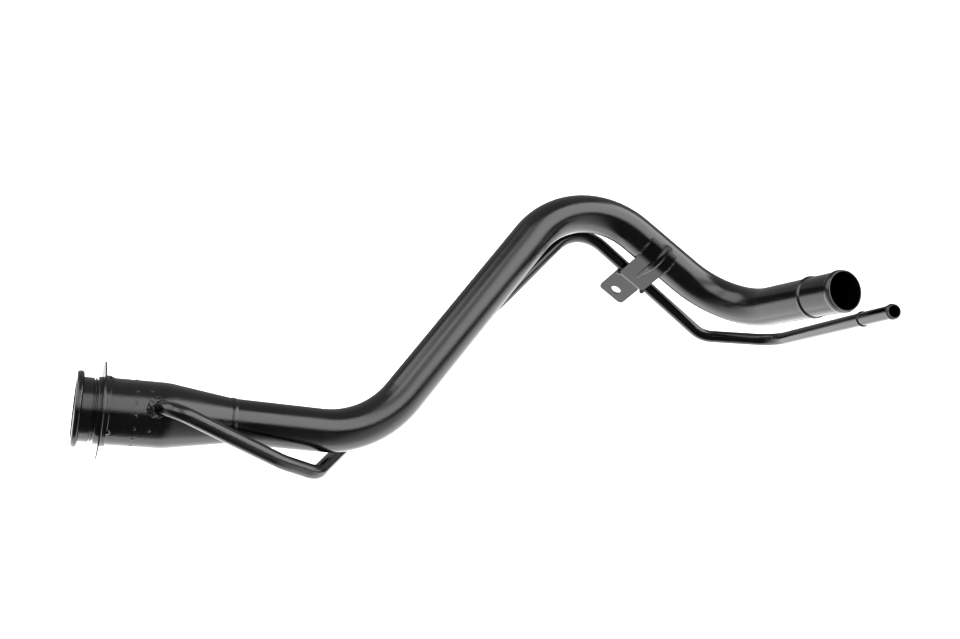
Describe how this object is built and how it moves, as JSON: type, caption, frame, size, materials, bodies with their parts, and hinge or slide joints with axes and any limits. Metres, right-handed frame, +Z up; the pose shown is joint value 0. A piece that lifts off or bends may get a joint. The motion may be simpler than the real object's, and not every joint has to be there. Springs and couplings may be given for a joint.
{
  "type": "fuel filler neck",
  "caption": "Bent steel fuel filler neck with a rolled mouth, retainer plate, restrictor with a sprung flap, main tube, breather tube and a bolt-on bracket.",
  "frame": {"origin": "on the axis of the head at the back of its rolled rim, where the car's filler pocket holds it", "axes": "+X runs along the head from the mouth into the neck, +Z is up as the picture shows the part, +Y is away from the viewer's side"},
  "size_m": [0.6895, 0.3135, 0.294],
  "materials": {
    "gloss_paint": "gloss black paint over steel",
    "bracket_paint": "satin black coating on pressed steel",
    "plated_steel": "dull zinc-plated sheet",
    "spring_steel": "drawn spring wire"
  },
  "bodies": {
    "neck": {"filler_head": "gloss_paint", "groove_ring": "spring_steel", "cap_ring": "plated_steel", "restrictor": "plated_steel", "hinge_bracket": "plated_steel", "hinge_pin": "spring_steel", "flap_spring": "spring_steel", "retainer_plate": "gloss_paint", "plate_weld_1": "gloss_paint", "plate_weld_2": "gloss_paint", "plate_weld_3": "gloss_paint", "main_tube": "gloss_paint", "neck_weld": "gloss_paint", "vent_tube": "gloss_paint", "vent_weld": "gloss_paint", "bracket": "bracket_paint", "bracket_weld_left": "gloss_paint", "bracket_weld_right": "gloss_paint", "vent_tack_upper": "gloss_paint", "vent_tack_lower": "gloss_paint"},
    "flap": {"flap_door": "plated_steel"}
  },
  "joints": [
    {"name": "flap_hinge", "type": "hinge", "parent": "neck", "child": "flap", "pos_m": [0.0572, 0, 0.0164], "axis": [0, -1, 0], "range_deg": [0, 75], "stiffness_Nm_per_rad": 0.02, "springref_deg": -28.65, "deforming": ["flap_spring"]}
  ]
}
